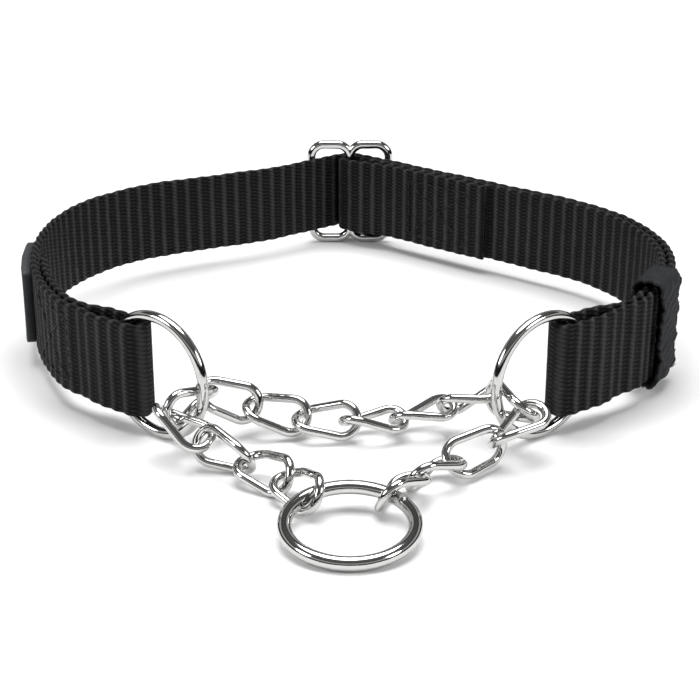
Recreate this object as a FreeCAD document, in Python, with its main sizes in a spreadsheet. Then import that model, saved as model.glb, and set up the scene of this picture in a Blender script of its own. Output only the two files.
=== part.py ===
import FreeCAD, Part

"""Martingale dog collar: adjustable webbing strap, wire slider, keeper loop, label,
two collar rings, sixteen twisted chain links and a leash ring.

Frame: millimetres, +Z up, chain and leash ring towards -Y, slider towards +Y.
The collar stands on its rings and slider, with the chain lying at the front.
The origin is the middle of the footprint, on the surface that the collar stands on.
"""
import math
import os

V = FreeCAD.Vector
UP = V(0, 0, 1)

doc = FreeCAD.newDocument("martingale_collar")
sheet = doc.addObject("Spreadsheet::Sheet", "Sizes")

# Driving dimensions, in millimetres and degrees.
SIZES = [
    ("webbing_width", 20.0),
    ("webbing_thick", 1.8),
    ("webbing_foot", 4.0),
    ("layer_pitch", 2.0),
    ("fold_reach", 5.3),
    ("fold_radius", 2.3),
    ("mid_x", 1.0),
    ("bar_y", 88.6),
    ("slider_wire", 2.3),
    ("slider_tall", 28.5),
    ("slider_bar_gap", 10.4),
    ("slider_corner", 3.5),
    ("slider_play", 0.2),
    ("left_corner_x", -24.2),
    ("left_corner_y", 24.7),
    ("left_corner_rad", 45.8),
    ("left_side_x", 13.4),
    ("left_side_y", 20.0),
    ("left_side_rad", 83.7),
    ("right_side_x", 20.5),
    ("right_side_y", 10.9),
    ("right_side_rad", 52.0),
    ("ring_rad", 12.4),
    ("ring_wire", 2.2),
    ("ring_x", 38.4),
    ("ring_y", -38.0),
    ("ring_yaw", 37.0),
    ("leash_rad", 11.7),
    ("leash_wire", 2.7),
    ("link_wire", 1.8),
    ("link_long", 12.7),
    ("link_wide", 7.9),
    ("link_twist", 62.0),
    ("link_slack", 0.7),
    ("seat_angle", -25.0),
    ("seat_gap", 1.0),
    ("keeper_wide", 12.0),
    ("keeper_thick", 0.9),
    ("keeper_gap", 0.4),
    ("keeper_angle", -27.0),
    ("label_long", 22.0),
    ("label_tall", 17.0),
    ("label_thick", 2.0),
    ("label_rim", 1.4),
    ("label_mark_tall", 2.4),
    ("label_mark_long", 8.8),
    ("label_angle", 187.0),
    ("tail_long", 44.0),
    ("hem_angle", 190.0),
]
for row, (name, value) in enumerate(SIZES, start=1):
    sheet.set("A%d" % row, name)
    sheet.set("B%d" % row, repr(value))
    sheet.setAlias("B%d" % row, name)
doc.recompute()


def size(name):
    """A driving dimension, read back from the sheet."""
    return float(sheet.get(name))


def polar(centre, radius, degrees):
    """The point at a radius and an angle from a centre, in plan."""
    turn = math.radians(degrees)
    return centre + V(radius * math.cos(turn), radius * math.sin(turn), 0)


def heading(degrees):
    """The unit vector that points at an angle in plan."""
    return polar(V(), 1, degrees)


def corner_about(centre, radius, first, last):
    """Where the tangents at two polar angles of a circle meet."""
    half = math.radians(last - first) / 2
    return polar(centre, radius / math.cos(half), (first + last) / 2)


def meet(point, way, other, other_way):
    """Where two lines in plan cross."""
    cross = way.x * other_way.y - way.y * other_way.x
    gap = other - point
    return point + way * ((gap.x * other_way.y - gap.y * other_way.x) / cross)


# ---------------------------------------------------------------- webbing strap

THICK = size("webbing_thick")
LAYER = size("layer_pitch")
FOLD = size("fold_radius")
BAR = V(size("mid_x"), size("bar_y"), 0)
RING_YAW = size("ring_yaw")


def ring_centre(side):
    """Centre of a collar ring, standing on the ground; side is -1 left, 1 right."""
    height = size("ring_rad") + size("ring_wire") / 2
    return V(size("mid_x") + side * size("ring_x"), size("ring_y"), height)


def ring_point(side, along, across):
    """A plan point by its distance out along a ring's plane and across it."""
    outward = V(side * math.cos(math.radians(RING_YAW)), math.sin(math.radians(RING_YAW)), 0)
    forward = V(side * math.sin(math.radians(RING_YAW)), -math.cos(math.radians(RING_YAW)), 0)
    point = ring_centre(side) + outward * along + forward * across
    return V(point.x, point.y, 0)


def fold_corners(side):
    """Corners where the webbing opens out, turns round a ring and closes again."""
    tip = size("fold_reach") - FOLD
    return [
        (ring_point(side, 20, LAYER / 2), 6),
        (ring_point(side, 15, FOLD), 6),
        (ring_point(side, tip, FOLD), FOLD),
        (ring_point(side, tip, -FOLD), FOLD),
        (ring_point(side, 15, -FOLD), 6),
        (ring_point(side, 20, -LAYER / 2), 6),
    ]


def bend_to_ring(side, centre, radius, angle, across):
    """Where a side's last straight meets the line through its ring."""
    leaving = polar(centre, radius, angle)
    start = ring_point(side, 0, across)
    return meet(leaving, heading(angle + 90), start, ring_point(side, 10, across) - start)


LEFT_CORNER = V(size("left_corner_x"), size("left_corner_y"), 0)
LEFT_SIDE = V(size("left_side_x"), size("left_side_y"), 0)
RIGHT_SIDE = V(size("right_side_x"), size("right_side_y"), 0)
LEFT_TURNS = (115.7, 172.8, 207.5)
RIGHT_TURNS = (50.7, -30.0)
LEFT_SLOPE = 38.0
RIGHT_SLOPE = RIGHT_TURNS[0] - 90
WRAP = size("slider_wire") / 2 + size("slider_play") + THICK / 2


def bar_point(along, across):
    """A plan point by its distance along the right strap from the bar and across it."""
    return BAR + heading(RIGHT_SLOPE) * along + heading(RIGHT_SLOPE + 90) * across


def webbing_corners():
    """The strap's middle line: (corner, bend radius), from the left hem to the tail."""
    left_rad = size("left_side_rad")
    right_rad = size("right_side_rad")
    hem = size("hem_angle")
    over = WRAP + LAYER
    crest = corner_about(BAR, over, 90 + LEFT_SLOPE, 90 + RIGHT_SLOPE)
    shoulder = meet(
        polar(BAR, over, 90 + LEFT_SLOPE),
        heading(LEFT_SLOPE),
        polar(LEFT_CORNER, size("left_corner_rad"), LEFT_TURNS[0]),
        heading(LEFT_TURNS[0] - 90),
    )
    corners = [
        (polar(LEFT_SIDE, left_rad - LAYER, hem), 0),
        (corner_about(LEFT_SIDE, left_rad - LAYER, hem, LEFT_TURNS[2]), left_rad - LAYER),
        (bend_to_ring(-1, LEFT_SIDE, left_rad - LAYER, LEFT_TURNS[2], -LAYER / 2), 16),
    ]
    corners += reversed(fold_corners(-1))
    corners += [
        (bend_to_ring(-1, LEFT_SIDE, left_rad, LEFT_TURNS[2], LAYER / 2), 18),
        (corner_about(LEFT_SIDE, left_rad, LEFT_TURNS[1], LEFT_TURNS[2]), left_rad - 1),
        (corner_about(LEFT_CORNER, size("left_corner_rad"), *LEFT_TURNS[:2]), size("left_corner_rad") - 1),
        (shoulder, 30),
        (crest, over),
        (corner_about(RIGHT_SIDE, right_rad, *RIGHT_TURNS), right_rad),
        (bend_to_ring(1, RIGHT_SIDE, right_rad, RIGHT_TURNS[1], LAYER / 2), 8),
    ]
    corners += fold_corners(1)
    corners += [
        (bend_to_ring(1, RIGHT_SIDE, right_rad - LAYER, RIGHT_TURNS[1], -LAYER / 2), 8),
        (corner_about(RIGHT_SIDE, right_rad - LAYER, *RIGHT_TURNS), right_rad - LAYER),
        (bar_point(-WRAP, WRAP), WRAP - 0.05),
        (bar_point(-WRAP, -WRAP), WRAP - 0.05),
        (bar_point(4, -WRAP), 8),
        (bar_point(13, WRAP - LAYER), 8),
        (bar_point(size("tail_long"), WRAP - LAYER), 0),
    ]
    return corners


def ribbon_face(corners, thick):
    """A strip of even thickness about a line of straights and tangent arcs."""
    points = [corner for corner, radius in corners]
    spans = []
    start = points[0]
    for before, (corner, radius), after in zip(points, corners[1:-1], points[2:]):
        come = (corner - before).normalize()
        leave = (after - corner).normalize()
        bend = math.atan2(come.x * leave.y - come.y * leave.x, come.dot(leave))
        reach = radius * math.tan(abs(bend) / 2)
        arc_in = corner - come * reach
        arc_out = corner + leave * reach
        if (arc_in - start).dot(come) > 1e-6:
            spans.append((start, arc_in, None, 0))
        side = V(-come.y, come.x, 0) * math.copysign(1, bend)
        spans.append((arc_in, arc_out, arc_in + side * radius, bend))
        start = arc_out
    spans.append((start, points[-1], None, 0))

    def edge(span, shift):
        first, last, centre, bend = span
        if centre is None:
            along = (last - first).normalize()
            side = V(-along.y, along.x, 0) * shift
            return Part.LineSegment(first + side, last + side).toShape()
        inward = (centre - first).normalize()
        scale = shift * math.copysign(1, bend)
        radius = (centre - first).Length - scale
        begin = centre - inward * radius
        turned = FreeCAD.Rotation(UP, math.degrees(bend) / 2)
        finish = centre - FreeCAD.Rotation(UP, math.degrees(bend)).multVec(inward) * radius
        return Part.Arc(begin, centre - turned.multVec(inward) * radius, finish).toShape()

    left = [edge(span, thick / 2) for span in spans]
    right = [edge(span, -thick / 2) for span in reversed(spans)]
    first_cap = Part.LineSegment(right[-1].Vertexes[0].Point, left[0].Vertexes[0].Point).toShape()
    last_cap = Part.LineSegment(left[-1].Vertexes[-1].Point, right[0].Vertexes[-1].Point).toShape()
    return Part.makeFace([Part.Wire([first_cap] + left + [last_cap] + right)], "Part::FaceMakerBullseye")


def bind(item, **cells):
    """Ties an object's properties to cells of the sheet."""
    for prop, formula in cells.items():
        item.setExpression(prop, formula)


parts = []


def keep(item, name):
    """Marks an object as a sub-part with the name that its file gets."""
    item.Label = name
    parts.append(item)
    return item


profile = doc.addObject("Part::Feature", "WebbingProfile")
profile.Shape = ribbon_face(webbing_corners(), THICK)
profile.Placement = FreeCAD.Placement(V(0, 0, size("webbing_foot")), FreeCAD.Rotation())
strap = doc.addObject("Part::Extrusion", "WebbingStrap")
strap.Base = profile
strap.DirMode = "Custom"
strap.Dir = UP
strap.Solid = True
bind(strap, LengthFwd="Sizes.webbing_width")
keep(strap, "webbing_strap")

# ----------------------------------------------------------------------- slider


def loop_line(side, half_tall):
    """One of the slider's two loops, left open where the centre bar closes it."""
    wide = size("slider_bar_gap")
    bend = size("slider_corner")
    straight = half_tall - bend
    slant = bend * math.sqrt(0.5)
    edges = []
    for up in (1, -1):
        near_arc = [V(0, 0, straight), V(side * (bend - slant), 0, straight + slant),
                    V(side * bend, 0, half_tall)]
        far_arc = [V(side * wide - point.x, 0, point.z) for point in reversed(near_arc)]
        points = [V(point.x, 0, up * point.z) for point in near_arc + far_arc][::up]
        edges.append(Part.Arc(*points[:3]).toShape())
        edges.append(Part.LineSegment(points[2], points[3]).toShape())
        edges.append(Part.Arc(*points[3:]).toShape())
    far_bar = Part.LineSegment(V(side * wide, 0, straight), V(side * wide, 0, -straight))
    edges.insert(3, far_bar.toShape())
    return Part.Wire(edges)


slider_half = (size("slider_tall") - size("slider_wire")) / 2
slider_place = FreeCAD.Placement(BAR + UP * (size("slider_tall") / 2), FreeCAD.Rotation())
slider_bend = size("slider_corner")
loops = []
for side, word in ((-1, "Left"), (1, "Right")):
    line = doc.addObject("Part::Feature", "SliderLine" + word)
    line.Shape = loop_line(side, slider_half)
    section = doc.addObject("Part::Circle", "SliderSection" + word)
    bind(section, Radius="Sizes.slider_wire / 2")
    section.Placement = FreeCAD.Placement(V(0, 0, slider_half - slider_bend), FreeCAD.Rotation())
    loop = doc.addObject("Part::Sweep", "SliderLoop" + word)
    loop.Sections = [section]
    loop.Spine = (line, ["Edge%d" % number for number in range(1, 8)])
    loop.Solid = True
    loop.Frenet = False
    loops.append(loop)
centre_bar = doc.addObject("Part::Cylinder", "SliderBar")
bind(centre_bar, Radius="Sizes.slider_wire / 2",
     Height="Sizes.slider_tall - Sizes.slider_wire - 2 * Sizes.slider_corner")
centre_bar.Placement = FreeCAD.Placement(V(0, 0, slider_bend - slider_half), FreeCAD.Rotation())
slider = doc.addObject("Part::MultiFuse", "Slider")
slider.Shapes = loops + [centre_bar]
slider.Placement = slider_place
keep(slider, "slider")

# -------------------------------------------------------------- keeper and label


def sector(name, inner, outer, low, tall, angle_span):
    """A curved slab between two radii, centred on +X, as a cut of two cylinders."""
    solids = []
    for word, radius in (("Outer", outer), ("Inner", inner)):
        solid = doc.addObject("Part::Cylinder", name + word)
        bind(solid, Radius=radius, Height=tall, Angle=angle_span)
        solids.append(solid)
    slab = doc.addObject("Part::Cut", name)
    slab.Base, slab.Tool = solids
    doc.recompute()
    half_turn = FreeCAD.Rotation(UP, -solids[0].Angle.Value / 2)
    slab.Placement = FreeCAD.Placement(V(0, 0, low), half_turn)
    return slab


foot = size("webbing_foot")
gap = size("keeper_gap")
tape = size("keeper_thick")
RIGHT_IN = "Sizes.right_side_rad - Sizes.layer_pitch - Sizes.webbing_thick / 2 - Sizes.keeper_gap"
RIGHT_OUT = "Sizes.right_side_rad + Sizes.webbing_thick / 2 + Sizes.keeper_gap"
keeper_outer = sector(
    "KeeperBlock", RIGHT_IN + " - Sizes.keeper_thick", RIGHT_OUT + " + Sizes.keeper_thick",
    foot - gap - tape, "Sizes.webbing_width + 2 * Sizes.keeper_gap + 2 * Sizes.keeper_thick",
    "Sizes.keeper_wide / Sizes.right_side_rad * 180 / pi * 1 deg")
keeper_hollow = sector(
    "KeeperHollow", RIGHT_IN, RIGHT_OUT, foot - gap,
    "Sizes.webbing_width + 2 * Sizes.keeper_gap", "30 deg")
keeper = doc.addObject("Part::Cut", "Keeper")
keeper.Base = keeper_outer
keeper.Tool = keeper_hollow
keeper.Placement = FreeCAD.Placement(RIGHT_SIDE, FreeCAD.Rotation(UP, size("keeper_angle")))
keep(keeper, "keeper_loop")

# The label is moulded: a rim, a recessed plate inside it and a plain raised bar.
label_back = "Sizes.left_side_rad + Sizes.webbing_thick / 2 + 0.1"
label_low = foot + (size("webbing_width") - size("label_tall")) / 2
label_place = FreeCAD.Placement(LEFT_SIDE, FreeCAD.Rotation(UP, size("label_angle")))
rim_block = sector(
    "RimBlock", label_back, label_back + " + Sizes.label_thick", label_low, "Sizes.label_tall",
    "Sizes.label_long / Sizes.left_side_rad * 180 / pi * 1 deg")
rim_window = sector(
    "RimWindow", label_back + " - 1", label_back + " + Sizes.label_thick + 1",
    label_low + size("label_rim"), "Sizes.label_tall - 2 * Sizes.label_rim",
    "(Sizes.label_long - 2 * Sizes.label_rim) / Sizes.left_side_rad * 180 / pi * 1 deg")
rim = doc.addObject("Part::Cut", "LabelRim")
rim.Base = rim_block
rim.Tool = rim_window
rim.Placement = label_place
keep(rim, "label_rim")
plate = sector(
    "LabelPlate", label_back, label_back + " + Sizes.label_thick * 0.65",
    label_low + size("label_rim") + 0.05, "Sizes.label_tall - 2 * Sizes.label_rim - 0.1",
    "(Sizes.label_long - 2 * Sizes.label_rim - 0.1) / Sizes.left_side_rad * 180 / pi * 1 deg")
plate.Placement = label_place * plate.Placement
keep(plate, "label_plate")
mark = sector(
    "LabelMark", label_back + " + Sizes.label_thick * 0.65 + 0.02",
    label_back + " + Sizes.label_thick * 0.85",
    label_low + size("label_rim") + 2.5, "Sizes.label_mark_tall",
    "Sizes.label_mark_long / Sizes.left_side_rad * 180 / pi * 1 deg")
mark.Placement = label_place * mark.Placement
keep(mark, "label_mark")

# ------------------------------------------------------------------------ rings


def ring(name, rad, wire, centre, rotation):
    """A plain welded ring."""
    torus = doc.addObject("Part::Torus", name.title().replace("_", ""))
    bind(torus, Radius1="Sizes." + rad, Radius2="Sizes.%s / 2" % wire)
    torus.Placement = FreeCAD.Placement(centre, rotation)
    return keep(torus, name)


for side, name in ((-1, "ring_left"), (1, "ring_right")):
    facing = ring_point(side, 0, 1) - ring_point(side, 0, 0)
    ring(name, "ring_rad", "ring_wire", ring_centre(side), FreeCAD.Rotation(UP, facing))

# ------------------------------------------------------------------------ chain

LONG = size("link_long")
PITCH = LONG - size("link_wire") - size("link_slack")


def half_link_line():
    """Half of a link's middle line, round one end: two half straights and two bends.
    The end lies square to the long axis, turned about it by half of the link's twist,
    so the straights between the two ends are skew."""
    half_long = LONG / 2
    half_wide = size("link_wide") / 2
    lean = math.radians(size("link_twist") / 2)
    low = V(half_long, -half_wide * math.cos(lean), -half_wide * math.sin(lean))
    high = V(half_long, half_wide * math.cos(lean), half_wide * math.sin(lean))
    low_start = V(0, low.y, 0)
    high_end = V(0, high.y, 0)
    cross = (high - low).normalize()
    edges = []
    for corner, come, leave in (
            (low, (low - low_start).normalize(), cross),
            (high, cross, (high_end - high).normalize())):
        turn = come.getAngle(leave)
        arc_in = corner - come * half_wide
        arc_out = corner + leave * half_wide
        inward = (leave - come).normalize()
        radius = half_wide / math.tan(turn / 2)
        middle = corner + inward * (radius / math.cos(turn / 2) - radius)
        edges.append(Part.Arc(arc_in, middle, arc_out).toShape())
    lead = Part.LineSegment(low_start, edges[0].Vertexes[0].Point).toShape()
    trail = Part.LineSegment(edges[1].Vertexes[1].Point, high_end).toShape()
    return Part.Wire([lead] + edges + [trail])


link_path = doc.addObject("Part::Feature", "LinkLine")
link_path.Shape = half_link_line()
first_edge = link_path.Shape.Edges[0]
link_section = doc.addObject("Part::Circle", "LinkSection")
bind(link_section, Radius="Sizes.link_wire / 2")
link_section.Placement = FreeCAD.Placement(
    first_edge.Vertexes[0].Point, FreeCAD.Rotation(UP, first_edge.tangentAt(0)))
front_half = doc.addObject("Part::Sweep", "LinkFrontHalf")
front_half.Sections = [link_section]
front_half.Spine = (link_path, ["Edge%d" % number for number in range(1, 5)])
front_half.Solid = True
front_half.Frenet = False
rear_half = doc.addObject("Part::Compound", "LinkRearHalf")
rear_half.Links = [front_half]
rear_half.Placement = FreeCAD.Placement(V(), FreeCAD.Rotation(UP, 180))
link = doc.addObject("Part::MultiFuse", "Link")
link.Shapes = [front_half, rear_half]


def link_rotation(way, across):
    """Turns a link's long axis along way and its flat as near to across as it goes."""
    return FreeCAD.Rotation(way, across, V(), "XYZ")


def rolled(way, roll):
    """The direction square to way that lies roll degrees above the level."""
    level = UP.cross(way).normalize()
    return FreeCAD.Rotation(way, roll).multVec(level)


def add_link(name, middle, way, across):
    """One chain link, as a copy of the swept one."""
    item = doc.addObject("Part::Compound", name.title().replace("_", ""))
    item.Links = [link]
    item.Placement = FreeCAD.Placement(middle, link_rotation(way, across))
    return keep(item, name)


def add_strand(word, side, hook, steps, rolls):
    """Links hooked one into the next. Each step is (turn towards -Y, dip), and hook is
    the middle of the wire that the first link hangs on. Returns the last such point."""
    for number, ((turn, dip), roll) in enumerate(zip(steps, rolls), start=1):
        turn = math.radians(turn)
        dip = math.radians(dip)
        flat = math.cos(dip)
        way = V(-side * math.cos(turn) * flat, -math.sin(turn) * flat, -math.sin(dip))
        middle = hook + way * (PITCH - LONG / 2)
        add_link("%s_%d" % (word, number), middle, way, rolled(way, roll))
        hook = hook + way * PITCH
        last_way = way
    return hook, last_way


NEAR_STEPS = ((30, 24), (30, 10), (44, 0), (58, -3))
NEAR_ROLLS = {-1: (175, 95, 35, 35), 1: (10, 115, 35, 35)}
FAR_STEPS = ((-10, 22), (10, 10), (8, -2))
FAR_ROLLS = {-1: (50, 35, 30), 1: (25, 10, 5)}
strand_end = None
for side, word in ((-1, "left"), (1, "right")):
    inward = ring_point(side, -1, 0) - ring_point(side, 0, 0)
    backward = ring_point(side, 0, -1) - ring_point(side, 0, 0)
    lift = math.radians(size("seat_angle"))
    radial = inward * math.cos(lift) + UP * math.sin(lift)
    tangent = UP * math.cos(lift) - inward * math.sin(lift)
    reach = size("ring_rad") - (size("ring_wire") + size("link_wire")) / 2 - size("seat_gap")
    seat = ring_centre(side) + radial * reach
    add_link("seat_link_" + word, seat, backward, tangent)
    front = seat - backward * (LONG / 2)
    rear = seat + backward * (LONG / 2)
    strand_end = add_strand("near_link_" + word, side, front, NEAR_STEPS, NEAR_ROLLS[side])
    add_strand("far_link_" + word, side, rear, FAR_STEPS, FAR_ROLLS[side])

# The leash ring lies on the ground at its front and on the two last links at its rear.
end_hook, end_way = strand_end
wire = end_hook - end_way * ((size("link_wire") + size("leash_wire")) / 2 + 0.35)
beside = abs(wire.x - size("mid_x"))
leash_rad = size("leash_rad")
behind = math.sqrt(leash_rad ** 2 - beside ** 2)
tilt = math.asin((wire.z - size("leash_wire") / 2 - 0.1) / (leash_rad + behind))
leash_centre = V(size("mid_x"), wire.y - behind * math.cos(tilt), wire.z - behind * math.sin(tilt))
ring("leash_ring", "leash_rad", "leash_wire", leash_centre,
     FreeCAD.Rotation(V(1, 0, 0), math.degrees(tilt)))

# ----------------------------------------------------------------------- output

doc.recompute()
for item in doc.Objects:
    if "Invalid" in item.State or "Error" in item.State:
        raise RuntimeError("%s is %s" % (item.Name, item.State))
for item in parts:
    shape = item.Shape
    if shape.isNull() or not shape.isValid() or shape.Volume <= 0 or len(shape.Solids) != 1:
        raise RuntimeError("%s has a bad shape" % item.Label)
os.makedirs("parts", exist_ok=True)
box = FreeCAD.BoundBox()
for item in parts:
    item.Shape.exportStep("parts/%s.step" % item.Label)
    box.add(item.Shape.BoundBox)
    print("%-18s volume %9.1f mm3" % (item.Label, item.Shape.Volume))
print("%d parts, box %s" % (len(parts), box))
print("leash ring centre %s, tilt %.3f deg" % (leash_centre, math.degrees(tilt)))
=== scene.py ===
"""Looks of a martingale dog collar: ribbed webbing with thread seams, a tape keeper,
a rubber label, plated rings, a wire slider and a twisted-link chain.

Everything is in metres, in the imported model's frame: +Z up, chain towards -Y.
"""
import cmath
import math

import bpy
import numpy as np
from bpy.props import FloatProperty, FloatVectorProperty, PointerProperty
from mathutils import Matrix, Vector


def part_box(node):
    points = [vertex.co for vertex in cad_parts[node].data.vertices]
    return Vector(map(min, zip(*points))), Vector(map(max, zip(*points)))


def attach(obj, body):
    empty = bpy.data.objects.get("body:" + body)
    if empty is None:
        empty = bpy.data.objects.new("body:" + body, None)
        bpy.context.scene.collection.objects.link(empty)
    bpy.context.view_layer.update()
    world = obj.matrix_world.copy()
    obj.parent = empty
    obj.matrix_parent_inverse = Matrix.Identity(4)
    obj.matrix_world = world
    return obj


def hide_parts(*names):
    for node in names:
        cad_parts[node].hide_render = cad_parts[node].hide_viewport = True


bl_info = {
    "name": "Martingale Collar",
    "blender": (4, 5, 0),
    "version": (1, 0, 0),
    "location": "View3D > Sidebar > Collar",
    "description": "Builds a webbing and chain training collar on its packed frame",
    "category": "Object",
}

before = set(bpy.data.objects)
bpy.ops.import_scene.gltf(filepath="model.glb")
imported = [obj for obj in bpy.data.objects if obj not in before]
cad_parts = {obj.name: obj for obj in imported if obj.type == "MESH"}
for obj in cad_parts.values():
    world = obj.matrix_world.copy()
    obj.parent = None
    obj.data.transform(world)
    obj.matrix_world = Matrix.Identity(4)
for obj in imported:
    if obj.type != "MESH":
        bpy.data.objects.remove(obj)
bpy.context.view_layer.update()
UP = np.array((0.0, 0.0, 1.0))

# The strap's route: where its curves begin and end, in degrees about their centres, and
# the slope in degrees at which its left side leaves the slider.
LEFT_TURNS = (115.7, 172.8, 207.5)
RIGHT_TURNS = (50.7, -30.0)
LEFT_SLOPE = 38

# The webbing's mesh: rows of points to one rib, and points across one face.
ROWS_PER_RIB = 6
FACE_POINTS = 36

# The seams: their distance from the strap's edges, the left one's distance from its
# ring and its length, the right one's distance from the tail's end and its length, and
# the length and the wander of one stitch.
SEAM_INSET = 0.0028
HEM_SEAM_START = 0.0235
HEM_SEAM_LONG = 0.017
TAIL_SEAM_END = 0.0045
TAIL_SEAM_LONG = 0.019
STITCH_PITCH = 0.0026
STITCH_WANDER = 0.00010

# The keeper: the allowance for its ragged edges, its yarn and weft pitches, and the
# radius of a loose yarn.
RAGGED_ALLOWANCE = 0.0005
TAPE_YARN = 0.0007
TAPE_WEFT = 0.0008
FRAY_RADIUS = 0.00009

# The studio: lamps as (name, place, size, power), the surroundings' grey by height of
# direction, and the camera's place, lens and downward pitch in degrees.
LAMPS = (
    ("overhead", (0.0, 0.15, 0.9), 0.8, 9.5),
    ("left", (-0.8, -0.3, 0.5), 0.4, 3.2),
    ("right", (0.8, -0.4, 0.5), 0.4, 3.2),
)
SURROUNDINGS = ((0.0, 0.01), (0.24, 0.02), (0.30, 0.45), (0.48, 0.6), (0.56, 0.06), (1.0, 0.2))
SURROUNDINGS_STRENGTH = 0.9
FLOOR_REACH = 3.0
CAMERA_PLACE = (0.0010, -0.3320, 0.1377)
CAMERA_PITCH = 22
CAMERA_LENS = 82.5


def length(name, value, text):
    """A size property in metres."""
    return FloatProperty(name=name, default=value, unit="LENGTH", precision=5, description=text)


def turn(name, degrees, text):
    """An angle property."""
    return FloatProperty(
        name=name, default=math.radians(degrees), subtype="ANGLE", description=text)


def colour(name, value, text):
    """A colour property."""
    return FloatVectorProperty(
        name=name, default=value, size=3, subtype="COLOR", min=0, max=1, description=text)


class COLLAR_PG_sizes(bpy.types.PropertyGroup):
    """Sizes of the collar, as in its CAD source."""

    webbing_width: length("Webbing width", 0.020, "Width of the strap, which stands upright")
    webbing_thick: length("Webbing thickness", 0.0018, "Thickness of one layer over its ribs")
    webbing_foot: length("Webbing foot", 0.0040, "Height of the strap's lower edge")
    layer_pitch: length("Layer pitch", 0.0020, "Distance between two layers that lie together")
    rib_pitch: length("Rib pitch", 0.0034, "Distance from one crosswise rib to the next")
    rib_deep: length("Rib depth", 0.00034, "Depth of the groove between two ribs")
    yarn_pitch: length("Yarn pitch", 0.00094, "Distance between lengthwise yarns")
    fold_reach: length("Fold reach", 0.0053, "From a ring's centre to the fold's tip")
    fold_radius: length("Fold radius", 0.0023, "Radius of the strap's turn round a ring")
    mid_x: length("Middle", 0.0010, "The rings' and slider's middle plane")
    bar_y: length("Slider bar", 0.0886, "How far back the slider's middle bar is")
    slider_wire: length("Slider wire", 0.0023, "Diameter of the slider's wire")
    slider_tall: length("Slider height", 0.0285, "Overall height of the slider")
    slider_gap: length("Slider gap", 0.0104, "Distance between the slider's bars")
    slider_corner: length("Slider corner", 0.0035, "Bend radius of the slider's corners")
    slider_play: length("Slider play", 0.0002, "Gap between the middle bar and the strap")
    left_corner: FloatVectorProperty(
        name="Left corner", default=(-0.0242, 0.0247), size=2, unit="LENGTH", precision=5,
        description="Centre of the strap's rear left curve")
    left_corner_rad: length("Left corner radius", 0.0458, "Radius of the rear left curve")
    left_side: FloatVectorProperty(
        name="Left side", default=(0.0134, 0.0200), size=2, unit="LENGTH", precision=5,
        description="Centre of the strap's left curve")
    left_side_rad: length("Left side radius", 0.0837, "Radius of the left curve")
    right_side: FloatVectorProperty(
        name="Right side", default=(0.0205, 0.0109), size=2, unit="LENGTH", precision=5,
        description="Centre of the strap's right curve")
    right_side_rad: length("Right side radius", 0.0520, "Radius of the right curve")
    ring_rad: length("Ring radius", 0.0124, "Radius of a collar ring's middle line")
    ring_wire: length("Ring wire", 0.0022, "Diameter of a collar ring's wire")
    ring_x: length("Ring offset", 0.0384, "Distance of a collar ring from the middle plane")
    ring_y: length("Ring depth", -0.0380, "Depth of the collar rings' centres")
    ring_yaw: turn("Ring yaw", 37, "How far each collar ring is turned from facing forward")
    leash_rad: length("Leash ring radius", 0.0117, "Radius of the leash ring's middle line")
    leash_wire: length("Leash ring wire", 0.0027, "Diameter of the leash ring's wire")
    link_long: length("Link length", 0.0127, "Length of a link's middle line")
    link_wide: length("Link width", 0.0079, "Width of a link's middle line")
    link_wire: length("Link wire", 0.0018, "Diameter of a link's wire")
    link_twist: turn("Link twist", 62, "Turn of one end of a link against the other")
    keeper_wide: length("Keeper width", 0.0120, "Width of the keeper's tape")
    keeper_thick: length("Keeper thickness", 0.0009, "Thickness of the keeper's tape")
    keeper_gap: length("Keeper gap", 0.0004, "Gap between the keeper and the strap")
    keeper_angle: turn("Keeper place", -27, "Where the keeper sits on the right curve")
    label_long: length("Label length", 0.022, "Length of the label along the strap")
    label_tall: length("Label height", 0.017, "Height of the label")
    label_thick: length("Label thickness", 0.0020, "Thickness of the label's rim")
    label_rim: length("Label rim", 0.0014, "Width of the label's rim")
    label_angle: turn("Label place", 187, "Where the label sits on the left curve")
    tail_long: length("Tail length", 0.044, "Length of the sewn tail beyond the slider")
    hem_angle: turn("Hem place", 190, "Where the strap's left end lies on the left curve")
    thread: length("Thread", 0.00042, "Diameter of the sewing thread")


class COLLAR_PG_colours(bpy.types.PropertyGroup):
    """Colours of the collar, in linear values."""

    rib: colour("Rib", (0.052, 0.052, 0.054), "Tops of the webbing's ribs")
    # Painted shade: the groove colour darkens the grooves between the ribs for the shade that
    # falls in them.
    groove: colour("Groove", (0.0024, 0.0024, 0.0026), "Grooves between the ribs")
    tape: colour("Tape", (0.028, 0.029, 0.032), "Keeper tape")
    sewing: colour("Sewing", (0.018, 0.018, 0.019), "Sewing thread")
    rubber_grey: colour("Grey rubber", (0.050, 0.052, 0.056), "Label rim")
    rubber_black: colour("Black rubber", (0.014, 0.014, 0.015), "Label face")
    rubber_red: colour("Red rubber", (0.50, 0.03, 0.03), "Label mark")
    plate: colour("Plating", (0.60, 0.60, 0.59), "Bright nickel plating")
    floor: colour("Floor", (0.93, 0.93, 0.93), "Studio floor")


# ---------------------------------------------------------------- meshes and nodes


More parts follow.
